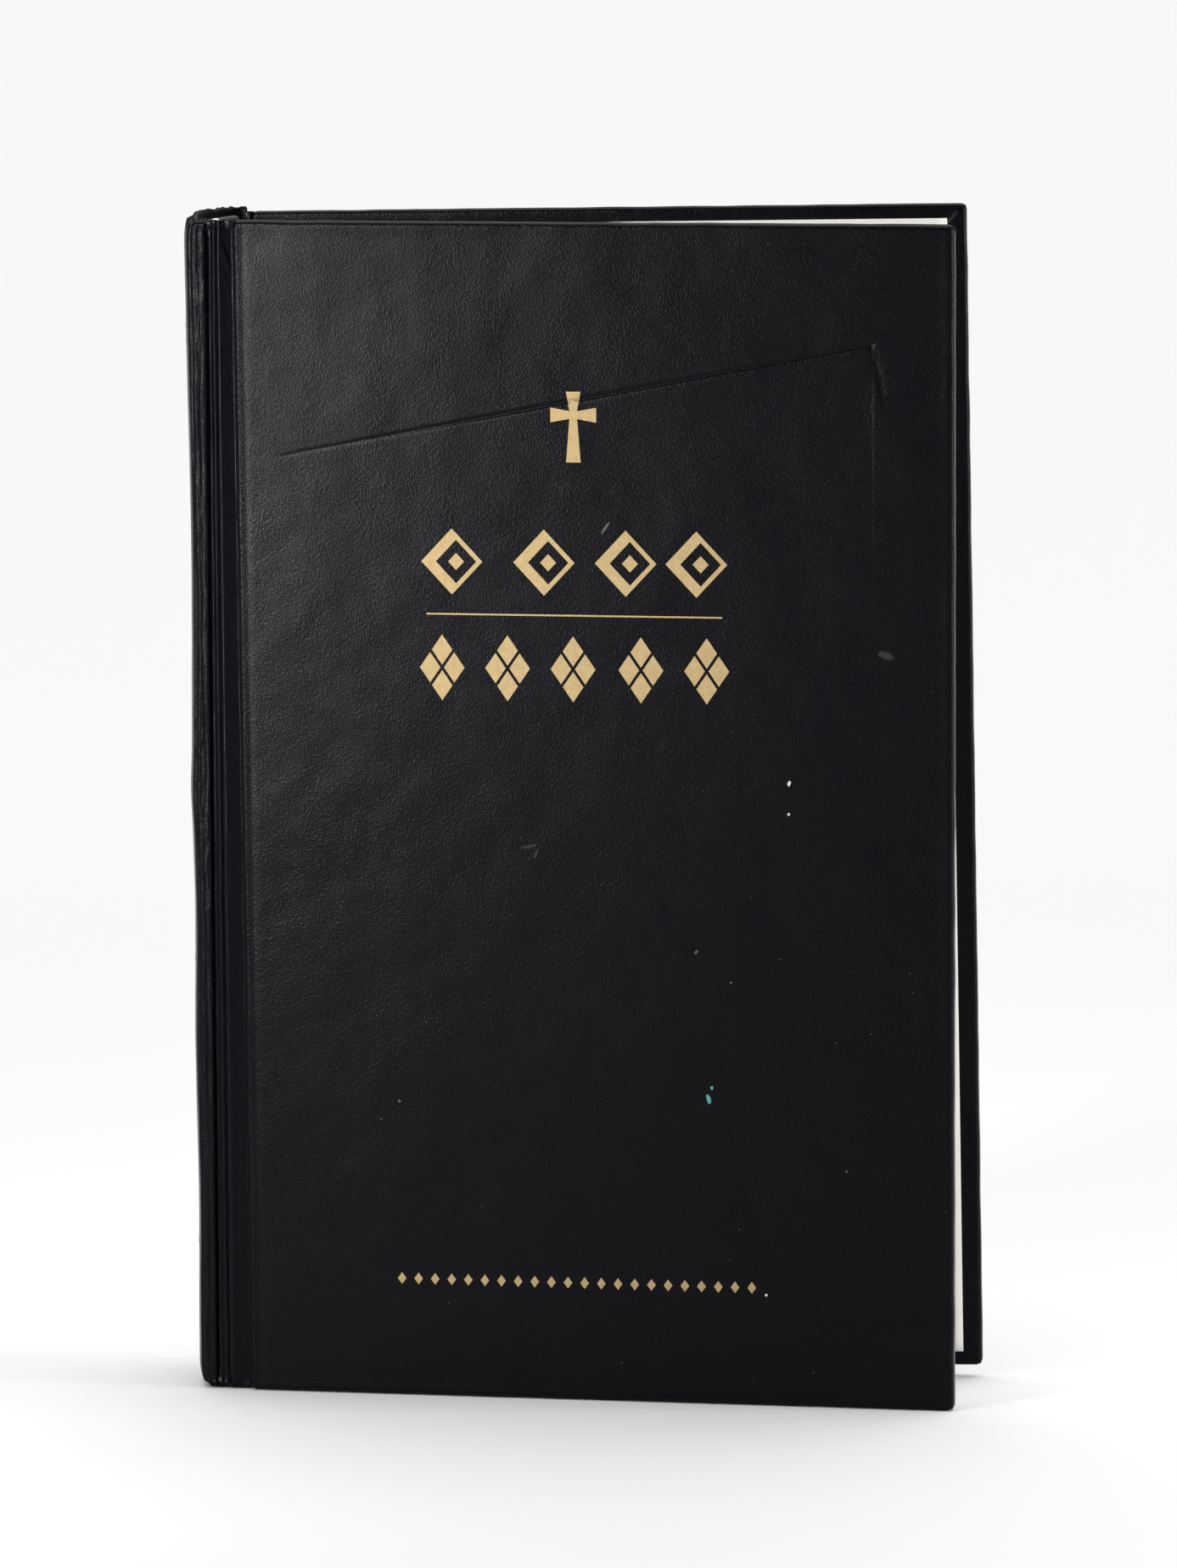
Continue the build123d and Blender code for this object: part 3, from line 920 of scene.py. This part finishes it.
def lengths(outline):
    """How far along an outline each of its points lies."""
    total = [0.0]
    for a, b in zip(outline, outline[1:]):
        total.append(total[-1] + math.dist(a, b))
    return total


def dent(z):
    """How far the spine is pushed in at a height."""
    total = 0.0
    for middle, width, depth in SPINE_DENTS:
        total += depth * math.exp(-(((z - middle) / width) ** 2))
    return total


def end_pull(z):
    """The skin draws in towards the pages at the head and the tail."""
    from_end = min(z, CASE_HEIGHT - z)
    t = 1 - ramp(from_end, 0, PULL_HEIGHT)
    return HEAD_PULL * (1 - math.sqrt(max(0.0, 1 - t * t)))


def wandering_fold(s, z, home, seed, width):
    """A fold of height 1 that runs along the spine, strays from its home and fades in and out."""
    middle = home + 0.55 * wobble(z / 26, seed) + 0.22 * wobble(z / 7, seed + 4)
    strength = 0.5 + 0.8 * wobble(z / 19, seed + 9)
    return max(0.0, strength) * math.exp(-(((s - middle) / width) ** 2))


def gathered_end(s, z, seed):
    """The leather bunched at the head and tail: a deep fold, a roll above it, and small pleats."""
    from_end = min(z, CASE_HEIGHT - z)
    fold = from_end - COLLAR + 0.05 * s * s - 0.25 * wobble(s, seed)
    bunch = -math.exp(-((fold / 0.6) ** 2)) + 0.5 * math.exp(-(((fold + 1.1) / 0.5) ** 2))
    pleats = math.exp(-from_end / 7) * wobble(s * 1.1, z / 8, seed)
    return (0.26 * bunch + 0.10 * pleats) * math.exp(-((s / 4.5) ** 2))


def collar_share(row):
    """How far the folds have run out into the collar at the head and the tail."""
    z, turn, drop = row
    from_end = drop if turn > 0 else min(z, CASE_HEIGHT - z)
    return 1 - smooth_step(from_end / COLLAR_REACH)


def collared(y, normal, side, share):
    """Depth and direction of the skin where its valley fills up into the collar."""
    normal = Vector(normal).lerp(Vector((0, side)), share)
    if abs(y) < COLLAR_DEPTH:
        y += (side * COLLAR_DEPTH - y) * share
    return y, normal


def slanting_fold(s, z):
    """One stiff fold in the front groove that runs down from the head towards the cover."""
    down = ramp(z, SLANT["top"], SLANT["foot"])
    middle = SLANT["start"] + SLANT["across"] * down
    held = smooth_step(4 * down) * smooth_step(3 - 3 * down)
    return SLANT["height"] * held * math.exp(-(((s - middle) / 0.28) ** 2))


def wrinkle(s, z, side):
    """Creasing of the skin s millimetres from the border of shoulder (below 0) and groove."""
    seed = 200.0 if side == FRONT else 300.0
    fine = wobble(s * 1.1, z * 0.3, seed) + 0.5 * wobble(s * 2.2, z * 0.7, seed + 2)
    height = 0.05 * math.exp(-((s / 5.0) ** 2)) * fine
    for tall, home, extra, width in LONG_FOLDS:
        height += tall * wandering_fold(s, z, home, seed + extra, width)
    if side == FRONT:
        height += slanting_fold(s, z) + gathered_end(s, z, seed)
    elif s < 0:
        height += gathered_end(s, z, seed)
    return height * ramp(abs(s), 0, 0.5) * ramp(min(z, CASE_HEIGHT - z), 0, 1.2)


def skin_rows():
    """Heights along the spine, with the turned rim at both ends as (z, turn, hang)."""
    rims = [(math.radians(turn), 0.0) for turn in spread(0.0, 180.0, 9)]
    rims += [(math.pi, drop) for drop in (1.5, 4.0, 8.0, 12.0)]
    tail = [(0.0, *rim) for rim in reversed(rims)]
    head = [(CASE_HEIGHT, *rim) for rim in rims]
    heights = [1.2, 1.6] + spread(2.0, CASE_HEIGHT - 2.0, 236)
    heights += [CASE_HEIGHT - 1.6, CASE_HEIGHT - 1.2]
    return tail + [(z, 0.0, 0.0) for z in heights] + head


def skin_point(x, y, normal, row, rim, raised):
    """A point of the skin: pushed out by raised, or carried round the rim at an end."""
    z, turn, drop = row
    end = 1 if z > CASE_HEIGHT / 2 else -1
    outward = raised
    height = z
    if turn > 0 or z in (0.0, CASE_HEIGHT):
        height = z - end * (rim * (1 - math.sin(turn)) + drop)
        outward = -rim * (1 - math.cos(turn))
    return x + normal[0] * outward, y + normal[1] * outward, height


def outline_normals(outline):
    """Outward directions along an open outline that has its inside on the right."""
    normals = []
    for i in range(len(outline)):
        x0, y0 = outline[max(i - 1, 0)]
        x1, y1 = outline[min(i + 1, len(outline) - 1)]
        length = math.hypot(x1 - x0, y1 - y0) or 1.0
        normals.append(((y0 - y1) / length, (x1 - x0) / length))
    return normals


def head_rise(y):
    """The head cap stands up from the front groove round to the back."""
    return HEAD_RISE * smooth_step(ramp(y, -15.0, -6.0))


def raise_head(y, z):
    """Height of a point of the skin once the head cap has been pulled up."""
    return z + head_rise(y) * smooth_step(ramp(z, CASE_HEIGHT - 14, CASE_HEIGHT))


def spine_skin():
    """The spine's leather from groove to groove, turned in at the head and tail."""
    outline = spine_outline()
    normals = outline_normals(outline)
    along = lengths(outline)
    shoulder_length = along[SHOULDER_COLUMNS]
    points = []
    for row in skin_rows():
        z = row[0]
        for (x, y), normal, done in zip(outline, normals, along):
            side = FRONT if y < 0 else BACK
            place = min(done, along[-1] - done)
            to_back = ramp(place, 0, shoulder_length)
            raised = wrinkle(-place, z, side) + 0.05 * to_back * wobble(y / 5, z / 9, 90.0)
            filled = collar_share(row) * (1 - smooth_step(place / COLLAR))
            y, normal = collared(y, normal, side, filled)
            rim = RIM * (0.45 + 0.55 * to_back)
            pull = (end_pull(z) + dent(z)) * smooth_step(to_back)
            pull += lean(z, SPINE_LEAN) * (0.4 + 0.6 * to_back)
            px, py, pz = skin_point(x, y, normal, row, rim, raised)
            points.append((px + pull, py, raise_head(y, pz) + head_wave(y, row)))
    skin = sheet("spine_skin", points, len(outline), BACK, LEATHER, turned=True)
    dress(skin, "black_leather", "spine", "spine_leather", material=SHOULDER_LEATHER)


def head_wave(y, row):
    """The ragged line of the head cap and tail cap."""
    z, turn, drop = row
    if turn == 0 or drop > 2:
        return 0.0
    end = 1 if z > CASE_HEIGHT / 2 else -1
    ragged = abs(wobble(y / 1.7, end * 7.0)) * 0.5 + abs(wobble(y / 5.0, end * 3.0)) * 0.6
    return -end * ragged


def groove_end(side, z):
    """How far the cover's edge of the groove stands from where it was made, and how much higher."""
    if side == FRONT:
        return lean(z, FRONT_LEAN), 0.0
    turned = math.radians(BACK_SETTLE["turn"]) * (z - CASE_HEIGHT / 2)
    return BACK_SETTLE["shift"] - turned, BACK_SETTLE["lift"]


def groove_skin(side):
    """The flexible leather of one groove, shaped at rest between the spine and the cover."""
    name = SIDE_NAME[side]
    outline = curve_through(GROOVE, GROOVE_COLUMNS)
    normals = outline_normals(outline)
    along = lengths(outline)
    points = []
    for row in skin_rows():
        z = row[0]
        shift, lift = groove_end(side, z)
        for (x, y), normal, done in zip(outline, normals, along):
            share = done / along[-1]
            raised = wrinkle(done, z, side) * (1 - smooth_step(3 * share - 2))
            filled = collar_share(row) * (1 - smooth_step(5 * share - 4))
            y, normal = collared(y, normal, BACK, filled)
            px, depth, pz = skin_point(x, y, normal, row, RIM * 0.45, raised)
            near_cover = smooth_step(1.15 * share)
            px += shift * near_cover + 0.4 * lean(z, SPINE_LEAN) * (1 - near_cover)
            on_spine = raise_head(side * depth, pz) + head_wave(side * depth, row)
            pz = on_spine * (1 - near_cover) + (pz + lift) * near_cover
            points.append(groove_place(side, px, depth, pz))
    strip = sheet(f"{name}_groove_skin", points, len(outline), side, LEATHER, turned=True)
    dress(strip, "black_leather", None, f"{name}_joint_leather", material=GROOVE_LEATHER)
    bend_with_cover(strip)


def spine_card():
    """The card strip inside the spine's skin, drawn in with it at the ends."""
    ys = spread(-ARC_EDGE_Y, ARC_EDGE_Y, 30)
    points = []
    for z in spread(0.9, CASE_HEIGHT - 0.9, 120):
        pull = end_pull(z) + dent(z) + lean(z, SPINE_LEAN) + CARD_GAP
        points += [(spine_arc(y, SPINE_RADIUS - LEATHER) + pull, y, z) for y in ys]
    card = sheet("spine_card", points, len(ys), BACK, SPINE_CARD, turned=True)
    dress(card, "card", "spine", "spine_inlay")


# ---- head and tail bands

WRAP_PITCH = 0.36
WRAP_GROUP = 16
DARK_WRAPS = 6
BAND_BULGE = 1.6
# from this place across the spine to the back every wrap is dark silk: painted shade of the head
# cap and tail cap
BAND_PAINTED_SHADE_FROM = 3.3
BAND_CORE = 0.72
BAND_THREAD = 0.19
BAND_PAST_BLOCK = 1.15
SKIRT = 0.2
SKIRT_TALL = 11.9


def band_x(y):
    """The band bows away from the folds between its ends."""
    return LINING_OUT + 0.75 - BAND_BULGE * (1 - (y / BLOCK_HALF) ** 2)


def band_wraps(name, middle_z):
    """Silk wound round a core, in groups of light and dark turns; towards the back every turn is
    dark, as painted shade of the cap over the band.
    """
    ring = 16
    tube = 6
    points = []
    faces = []
    shades = []
    for turn in range(int(2 * BLOCK_HALF / WRAP_PITCH)):
        y = -BLOCK_HALF + WRAP_PITCH * (turn + 0.5)
        first = len(points)
        for i in range(ring):
            a = 2 * math.pi * i / ring
            for k in range(tube):
                b = 2 * math.pi * k / tube
                reach = BAND_CORE + BAND_THREAD * math.cos(b)
                beside = BAND_THREAD * math.sin(b) + 0.18 * math.sin(a)
                height = middle_z + reach * math.sin(a)
                points.append((band_x(y) + reach * math.cos(a), y + beside, height))
        for i in range(ring):
            for k in range(tube):
                n, m = (i + 1) % ring, (k + 1) % tube
                quad = (i * tube + k, n * tube + k, n * tube + m, i * tube + m)
                faces.append(tuple(first + q for q in quad))
                # painted shade: past the given place towards the back every turn takes the dark
                # silk
                shades.append(0 if turn % WRAP_GROUP >= DARK_WRAPS and y < BAND_PAINTED_SHADE_FROM else 1)
    band = new_object(f"{name}_wraps", points, faces, BACK)
    dress(band, "band_silk", "spine", name)
    band.data.materials.append(DARK_SILK_AND_SHADE)
    band.data.polygons.foreach_set("material_index", shades)


def band_skirt(name, end, middle_z):
    """The core and the cloth tail of the band, glued down behind the folds."""
    low, high = sorted((middle_z, middle_z - end * SKIRT_TALL))
    ys = spread(-BLOCK_HALF, BLOCK_HALF, 40)
    points = []
    for z in spread(low, high, 16):
        near_band = 1 - smooth_step(abs(z - middle_z) / 4)
        for y in ys:
            flat = LINING_OUT - 0.03 + 0.02 * wobble(y, z / 2)
            points.append((flat * (1 - near_band) + (band_x(y) - 0.5) * near_band, y, z))
    skirt = sheet(f"{name}_skirt", points, len(ys), BACK, SKIRT, turned=True)
    dress(skirt, "band_silk", "spine", material=MATERIALS["mull_cloth"])


def end_bands():
    for name, end, block_end in (("headband", 1, LEAF_HIGH), ("tailband", -1, LEAF_LOW)):
        middle_z = block_end + end * BAND_PAST_BLOCK
        band_wraps(name, middle_z)
        band_skirt(name, end, middle_z)


# ---- gold foil

FOIL = 0.04
FOIL_STEP = 0.4
FOIL_CENTRE = 69.4
EMBLEM_HEIGHT = 180.5
EMBLEM_TALL = 13.0
UPPER_ROW = 155.5
LOWER_ROW = 135.9
ROW_TALL = 12.2
UPPER_PLACES = (46.5, 63.8, 79.1, 92.3)
UPPER_WIDTH = 11.5
LOWER_PLACES = (44.6, 56.9, 69.2, 81.9, 94.2)
LOWER_WIDTH = 8.4
RULE_HEIGHT = 145.8
RULE_LENGTH = 55.4
RULE_THICK = 0.30
FOOTER_HEIGHT = 21.9
FOOTER_LENGTH = 66.0
FOOTER_COUNT = 22
FOOTER_TALL = 2.2
SPINE_RULES = (27.0, 80.0, 195.0, 198.0)
SPINE_RULE_TALL = 0.8
SPINE_RULE_LONG = 26.0
SPINE_MARKS = (98.0, 117.0, 136.0, 155.0, 174.0)
SPINE_MARK = 9.0
SPINE_CROSS = 208.0


def rectangle(u, v, width, tall):
    return [(u + a * width / 2, v + b * tall / 2) for a, b in ((-1, -1), (1, -1), (1, 1), (-1, 1))]


def lozenge(u, v, width, tall):
    return [(u + a * width / 2, v + b * tall / 2) for a, b in ((0, -1), (1, 0), (0, 1), (-1, 0))]


def lozenge_frame(u, v, width, tall):
    """Four bars of an open lozenge, thick on one side and thin on the other, and its centre."""
    outside = lozenge(u, v, width, tall)
    inside = lozenge(u + 0.07 * width, v, 0.66 * width, 0.66 * tall)
    bars = [[outside[i - 1], outside[i], inside[i], inside[i - 1]] for i in (1, 2, 3, 0)]
    return bars + [lozenge(u + 0.07 * width, v, 0.26 * width, 0.26 * tall)]


def lozenge_cluster(u, v, width, tall):
    """Four solid lozenges set as the points of a larger one."""
    petals = []
    for a, b in ((0, 0.27), (0, -0.27), (0.27, 0), (-0.27, 0)):
        petals.append(lozenge(u + a * width, v + b * tall, 0.46 * width, 0.46 * tall))
    return petals


def cross(u, v, tall):
    """A plain cross whose four limbs widen towards their ends."""
    narrow = 0.055 * tall
    wide = 0.105 * tall
    centre = v + 0.17 * tall
    ends = ((0, 0.5 * tall - 0.17 * tall), (0, -0.67 * tall), (1, 0.33 * tall), (1, -0.33 * tall))
    limbs = [rectangle(u, centre, 2 * narrow, 2 * narrow)]
    for sideways, reach in ends:
        start = math.copysign(narrow, reach)
        limb = [(start, -narrow), (reach, -wide), (reach, wide), (start, narrow)]
        if not sideways:
            limb = [(across, along) for along, across in limb]
        if (reach > 0) != bool(sideways):
            limb.reverse()
        limbs.append([(u + a, centre + b) for a, b in limb])
    return limbs


def foil_piece(name, shapes, onto, side=FRONT):
    """Gold leaf: each four-sided shape is divided finely and laid on the surface under it."""
    points = []
    faces = []
    for a, b, c, d in shapes:
        long_u = max(math.dist(a, b), math.dist(d, c))
        long_v = max(math.dist(b, c), math.dist(a, d))
        columns = max(2, int(long_u / FOIL_STEP) + 1)
        rows = max(2, int(long_v / FOIL_STEP) + 1)
        first = len(points)
        for r in range(rows):
            t = r / (rows - 1)
            for k in range(columns):
                s = k / (columns - 1)
                near = Vector(a).lerp(Vector(b), s)
                far = Vector(d).lerp(Vector(c), s)
                points.append(onto(*near.lerp(far, t)))
        faces += grid_faces(rows, columns, first)
    leaf = new_object(name, points, flipped(faces), side, smooth=False)
    thicken(leaf, FOIL, 1.0)
    return leaf


def on_cover(u, v):
    return u, cover_surface(FRONT, u, v) + 0.03, v


def on_spine(u, v):
    """u runs round the spine, v up it."""
    lift = 0.05 * wobble(u / 5, v / 9, 90.0) + 0.02
    return spine_arc(u) + end_pull(v) + dent(v) - lift + lean(v, SPINE_LEAN), u, v


def repeated(mark, places, *size):
    """The shapes of one mark, drawn at each of the places along a row."""
    return [shape for u in places for shape in mark(u, *size)]


def front_foil():
    ends = (FOIL_CENTRE - FOOTER_LENGTH / 2, FOIL_CENTRE + FOOTER_LENGTH / 2)
    designs = {
        "foil_emblem": cross(FOIL_CENTRE, EMBLEM_HEIGHT, EMBLEM_TALL),
        "foil_upper_row": repeated(
            lozenge_frame, UPPER_PLACES, UPPER_ROW, UPPER_WIDTH, ROW_TALL
        ),
        "foil_lower_row": repeated(
            lozenge_cluster, LOWER_PLACES, LOWER_ROW, LOWER_WIDTH, ROW_TALL
        ),
        "foil_rule": [rectangle(FOIL_CENTRE, RULE_HEIGHT, RULE_LENGTH, RULE_THICK)],
        "foil_footer": [
            lozenge(u, FOOTER_HEIGHT, 0.75 * FOOTER_TALL, FOOTER_TALL)
            for u in spread(*ends, FOOTER_COUNT)
        ],
    }
    for node, shapes in designs.items():
        leaf = foil_piece(f"{node}_leaf", shapes, on_cover)
        leaf.data.transform(at_rest(FRONT))
        dress(leaf, "gold_foil", "front_cover", node)


def spine_foil():
    shapes = cross(0, SPINE_CROSS, SPINE_MARK)
    shapes += [rectangle(0, height, SPINE_RULE_LONG, SPINE_RULE_TALL) for height in SPINE_RULES]
    for height in SPINE_MARKS:
        shapes += lozenge_frame(0, height, SPINE_MARK, SPINE_MARK)
    leaf = foil_piece("foil_spine_leaf", shapes, on_spine, BACK)
    dress(leaf, "gold_foil", "spine", "foil_spine")


# ---- camera, light and floor

CAMERA_PLACE = (0.3139, -1.7645, 0.3045)
CAMERA_AZIMUTH = 10.03
CAMERA_PITCH = -6.11
CAMERA_ROLL = -0.2
CAMERA_LENS = 222.5
FLOOR_REACH = 40.0


def make_camera():
    data = bpy.data.cameras.new("camera")
    data.lens = CAMERA_LENS
    data.sensor_width = 36
    data.clip_start = 0.05
    data.clip_end = 50
    camera = link("camera", data)
    azimuth = Matrix.Rotation(math.radians(CAMERA_AZIMUTH), 4, "Z")
    pitch = Matrix.Rotation(math.radians(90 + CAMERA_PITCH), 4, "X")
    roll = Matrix.Rotation(math.radians(CAMERA_ROLL), 4, "Z")
    camera.matrix_world = Matrix.Translation(CAMERA_PLACE) @ azimuth @ pitch @ roll
    bpy.context.scene.camera = camera


def area_light(name, place, aim, size, power, spread_angle):
    data = bpy.data.lights.new(name, "AREA")
    data.shape = "RECTANGLE"
    data.size, data.size_y = size
    data.energy = power
    light = link(name, data)
    light.location = place
    light.rotation_mode = "QUATERNION"
    light.rotation_quaternion = (Vector(aim) - Vector(place)).to_track_quat("-Z", "Y")
    light.visible_camera = False
    data.spread = math.radians(spread_angle)


def make_world():
    """White to the eye, and a soft grey fill for the book."""
    world = bpy.data.worlds.new("studio")
    bpy.context.scene.world = world
    world.use_nodes = True
    tree = world.node_tree
    tree.nodes.clear()
    path = tree.nodes.new("ShaderNodeLightPath")
    fill = tree.nodes.new("ShaderNodeBackground")
    fill.inputs["Color"].default_value = (1.0, 0.99, 0.98, 1)
    fill.inputs["Strength"].default_value = 0.12
    seen = tree.nodes.new("ShaderNodeBackground")
    seen.inputs["Color"].default_value = (0.96, 0.955, 0.955, 1)
    mix = tree.nodes.new("ShaderNodeMixShader")
    out = tree.nodes.new("ShaderNodeOutputWorld")
    tree.links.new(path.outputs["Is Camera Ray"], mix.inputs[0])
    tree.links.new(fill.outputs[0], mix.inputs[1])
    tree.links.new(seen.outputs[0], mix.inputs[2])
    tree.links.new(mix.outputs[0], out.inputs[0])


def make_floor():
    """A round floor, wide enough to run past every view."""
    mesh = bpy.data.meshes.new("floor")
    steps = 96
    points = [(0, 0, 0)]
    for i in range(steps):
        a = 2 * math.pi * i / steps
        points.append((FLOOR_REACH * math.cos(a), FLOOR_REACH * math.sin(a), 0))
    faces = [(0, i + 1, (i + 1) % steps + 1) for i in range(steps)]
    mesh.from_pydata(points, [], faces)
    floor = link("floor", mesh)
    floor.location.z = -0.0001
    mesh.materials.append(floor_material())


def overhead_light():
    """A wide soft light from straight above, even over the whole floor."""
    data = bpy.data.lights.new("overhead", "SUN")
    data.energy = 3.2
    data.angle = math.radians(80)
    light = link("overhead", data)
    light.rotation_euler = (math.radians(-15), 0, 0)


def make_studio():
    make_world()
    make_floor()
    overhead_light()
    area_light("key", (-0.21, -0.38, 0.24), (-0.065, 0, 0.17), (0.06, 0.32), 0.36, 70)
    area_light("side", (0.75, -0.02, 0.30), (0.07, 0, 0.10), (0.25, 0.5), 1.0, 90)
    bpy.context.scene.view_settings.view_transform = "Standard"


# ---- the book


def dress_frame_nodes():
    """Materials for the frame nodes that show as they are."""
    slots = {
        "spine_lining": "kraft_paper",
        "spine_mull": "mull_cloth",
        "sewing_tapes": "linen_tape",
        "sewing_threads": "linen_thread",
        "front_mull_flap": "mull_cloth",
        "back_mull_flap": "mull_cloth",
        "front_infill_card": "card",
        "back_infill_card": "card",
    }
    for node, slot in slots.items():
        materials = frame["nodes"][node].data.materials
        materials.clear()
        materials.append(MATERIALS[slot])


def make_book():
    for side in (FRONT, BACK):
        cover_skin(side)
        board_core(side)
        pastedown_sheet(side)
        flyleaf_sheet(side)
        lining_strip(side, "mull", "mull_cloth", MULL_DEPTH, MULL_END)
        lining_strip(side, "endpaper", "end_paper", PASTEDOWN_IN, LEAF_LOW)
        groove_skin(side)
    spine_skin()
    spine_card()
    end_bands()
    for index in range(SECTION_COUNT):
        section_leaves(index)
    front_foil()
    spine_foil()
    dress_frame_nodes()


make_camera()
make_studio()
make_book()
